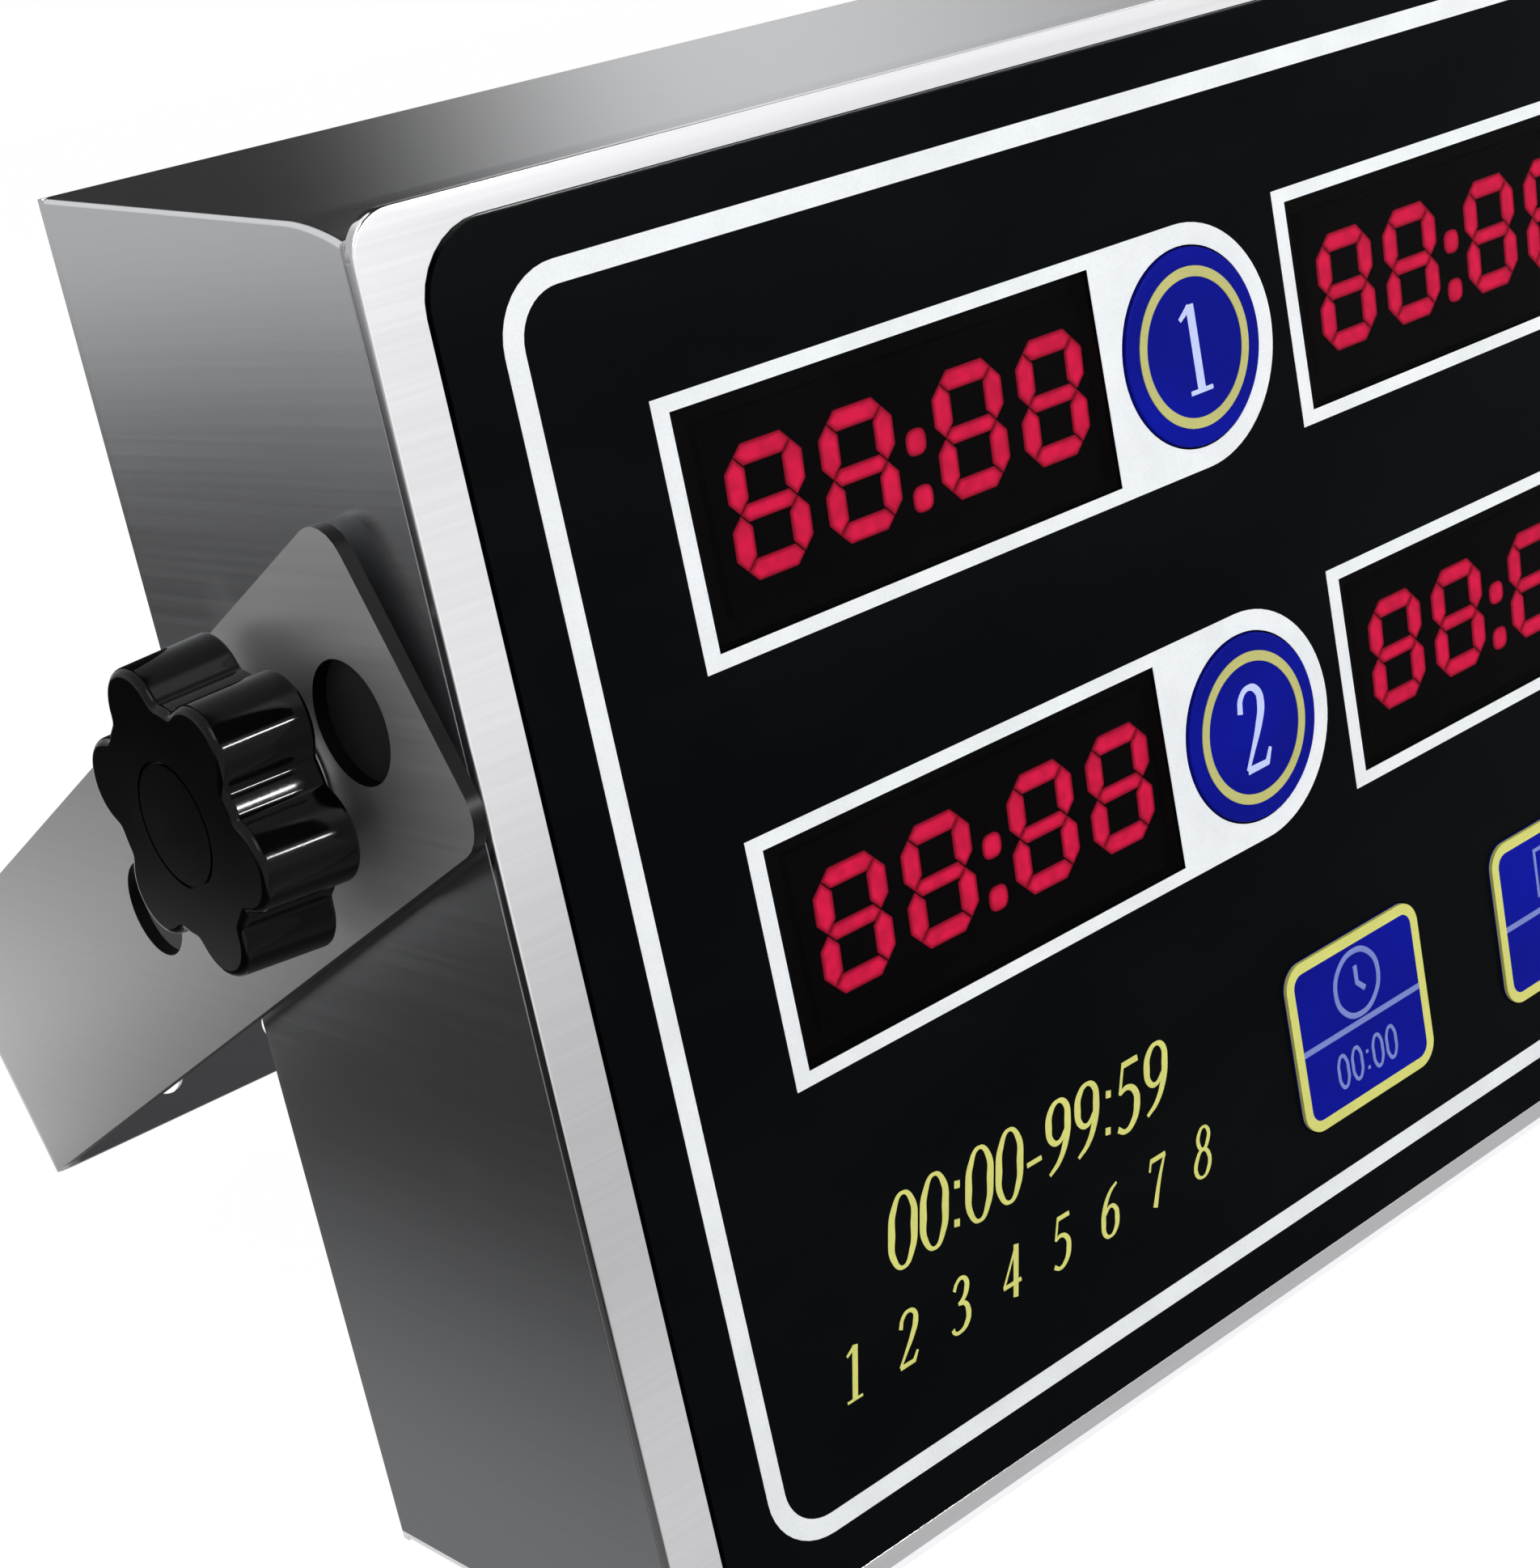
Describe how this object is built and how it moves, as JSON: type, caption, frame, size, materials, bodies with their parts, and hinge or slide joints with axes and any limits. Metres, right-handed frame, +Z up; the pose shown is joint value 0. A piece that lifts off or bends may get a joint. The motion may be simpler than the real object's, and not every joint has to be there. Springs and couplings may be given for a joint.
{
  "type": "multi-channel kitchen timer",
  "caption": "Multi-channel kitchen timer: steel case with red digit displays and blue push keys, tilting in a U-shaped bracket clamped by star knobs.",
  "frame": {"origin": "middle of the case's underside, which stands on a surface", "axes": "+X to the right along the case, +Y from the front panel to the rear, +Z up"},
  "size_m": [0.4402, 0.1385, 0.1537],
  "materials": {
    "case_steel": "brushed stainless sheet",
    "frame_steel": "bright satin stainless",
    "bracket_steel": "brushed stainless strip",
    "panel_black": "glossy black with white printed lines",
    "lens_smoke": "smoked window",
    "display_grey": "matt display face with red segments",
    "key_blue": "blue with a pale yellow ring or border",
    "plate_steel": "galvanised sheet",
    "zinc": "zinc plated",
    "brass_post": "turned brass",
    "board_green": "green solder mask",
    "chip_black": "moulded black",
    "core_iron": "varnished laminations",
    "coil_copper": "taped winding",
    "can_blue": "sleeved can",
    "ribbon_grey": "grey flat cable",
    "gland_black": "moulded black",
    "pad_black": "black rubber",
    "knob_black": "black moulded plastic, slight gloss"
  },
  "bodies": {
    "case": {"housing_shell": "case_steel", "rear_cover": "case_steel", "bezel_frame": "frame_steel", "front_panel": "panel_black", "display_lenses": "lens_smoke", "display_module_1": "display_grey", "display_module_2": "display_grey", "display_module_3": "display_grey", "display_module_4": "display_grey", "display_module_5": "display_grey", "display_module_6": "display_grey", "display_module_7": "display_grey", "display_module_8": "display_grey", "carrier_plate": "plate_steel", "cover_screws": "zinc", "carrier_screws": "zinc", "board_screws": "zinc", "power_screws": "zinc", "pivot_bush_left": "zinc", "pivot_bush_right": "zinc", "board_standoffs": "brass_post", "power_standoffs": "brass_post", "main_board": "board_green", "power_board": "board_green", "controller_chip": "chip_black", "tact_switches": "chip_black", "buzzer": "chip_black", "transformer_core": "core_iron", "transformer_coil": "coil_copper", "filter_capacitors": "can_blue", "board_link": "ribbon_grey", "cord_gland": "gland_black", "gland_nut": "gland_black"},
    "bracket": {"bracket": "bracket_steel", "arm_pad_left": "pad_black", "arm_pad_right": "pad_black"},
    "left_knob": {"knob_left": "knob_black", "stud_left": "zinc", "washer_left": "zinc"},
    "right_knob": {"knob_right": "knob_black", "stud_right": "zinc", "washer_right": "zinc"},
    "channel_1": {"channel_key_1": "key_blue"},
    "channel_2": {"channel_key_2": "key_blue"},
    "channel_3": {"channel_key_3": "key_blue"},
    "channel_4": {"channel_key_4": "key_blue"},
    "channel_5": {"channel_key_5": "key_blue"},
    "channel_6": {"channel_key_6": "key_blue"},
    "channel_7": {"channel_key_7": "key_blue"},
    "channel_8": {"channel_key_8": "key_blue"},
    "function_1": {"function_key_1": "key_blue"},
    "function_2": {"function_key_2": "key_blue"},
    "function_3": {"function_key_3": "key_blue"},
    "function_4": {"function_key_4": "key_blue"},
    "function_5": {"function_key_5": "key_blue"},
    "function_6": {"function_key_6": "key_blue"},
    "function_7": {"function_key_7": "key_blue"}
  },
  "joints": [
    {"name": "bracket_tilt", "type": "hinge", "parent": "case", "child": "bracket", "pos_m": [0, 0.00145, 0.0966], "axis": [1, 0, 0], "range_deg": [-84, 136]},
    {"name": "left_knob_turn", "type": "hinge", "parent": "case", "child": "left_knob", "pos_m": [-0.21065, 0.00145, 0.0966], "axis": [-1, 0, 0], "range_deg": [0, 360]},
    {"name": "right_knob_turn", "type": "hinge", "parent": "case", "child": "right_knob", "pos_m": [0.21065, 0.00145, 0.0966], "axis": [1, 0, 0], "range_deg": [0, 360]},
    {"name": "press_channel_1", "type": "slide", "parent": "case", "child": "channel_1", "axis": [0, 1, 0], "range_m": [0, 0.0004], "stiffness_N_per_m": 2000, "springref_m": -0.0003},
    {"name": "press_channel_2", "type": "slide", "parent": "case", "child": "channel_2", "axis": [0, 1, 0], "range_m": [0, 0.0004], "stiffness_N_per_m": 2000, "springref_m": -0.0003},
    {"name": "press_channel_3", "type": "slide", "parent": "case", "child": "channel_3", "axis": [0, 1, 0], "range_m": [0, 0.0004], "stiffness_N_per_m": 2000, "springref_m": -0.0003},
    {"name": "press_channel_4", "type": "slide", "parent": "case", "child": "channel_4", "axis": [0, 1, 0], "range_m": [0, 0.0004], "stiffness_N_per_m": 2000, "springref_m": -0.0003},
    {"name": "press_channel_5", "type": "slide", "parent": "case", "child": "channel_5", "axis": [0, 1, 0], "range_m": [0, 0.0004], "stiffness_N_per_m": 2000, "springref_m": -0.0003},
    {"name": "press_channel_6", "type": "slide", "parent": "case", "child": "channel_6", "axis": [0, 1, 0], "range_m": [0, 0.0004], "stiffness_N_per_m": 2000, "springref_m": -0.0003},
    {"name": "press_channel_7", "type": "slide", "parent": "case", "child": "channel_7", "axis": [0, 1, 0], "range_m": [0, 0.0004], "stiffness_N_per_m": 2000, "springref_m": -0.0003},
    {"name": "press_channel_8", "type": "slide", "parent": "case", "child": "channel_8", "axis": [0, 1, 0], "range_m": [0, 0.0004], "stiffness_N_per_m": 2000, "springref_m": -0.0003},
    {"name": "press_function_1", "type": "slide", "parent": "case", "child": "function_1", "axis": [0, 1, 0], "range_m": [0, 0.0004], "stiffness_N_per_m": 2000, "springref_m": -0.0003},
    {"name": "press_function_2", "type": "slide", "parent": "case", "child": "function_2", "axis": [0, 1, 0], "range_m": [0, 0.0004], "stiffness_N_per_m": 2000, "springref_m": -0.0003},
    {"name": "press_function_3", "type": "slide", "parent": "case", "child": "function_3", "axis": [0, 1, 0], "range_m": [0, 0.0004], "stiffness_N_per_m": 2000, "springref_m": -0.0003},
    {"name": "press_function_4", "type": "slide", "parent": "case", "child": "function_4", "axis": [0, 1, 0], "range_m": [0, 0.0004], "stiffness_N_per_m": 2000, "springref_m": -0.0003},
    {"name": "press_function_5", "type": "slide", "parent": "case", "child": "function_5", "axis": [0, 1, 0], "range_m": [0, 0.0004], "stiffness_N_per_m": 2000, "springref_m": -0.0003},
    {"name": "press_function_6", "type": "slide", "parent": "case", "child": "function_6", "axis": [0, 1, 0], "range_m": [0, 0.0004], "stiffness_N_per_m": 2000, "springref_m": -0.0003},
    {"name": "press_function_7", "type": "slide", "parent": "case", "child": "function_7", "axis": [0, 1, 0], "range_m": [0, 0.0004], "stiffness_N_per_m": 2000, "springref_m": -0.0003}
  ]
}
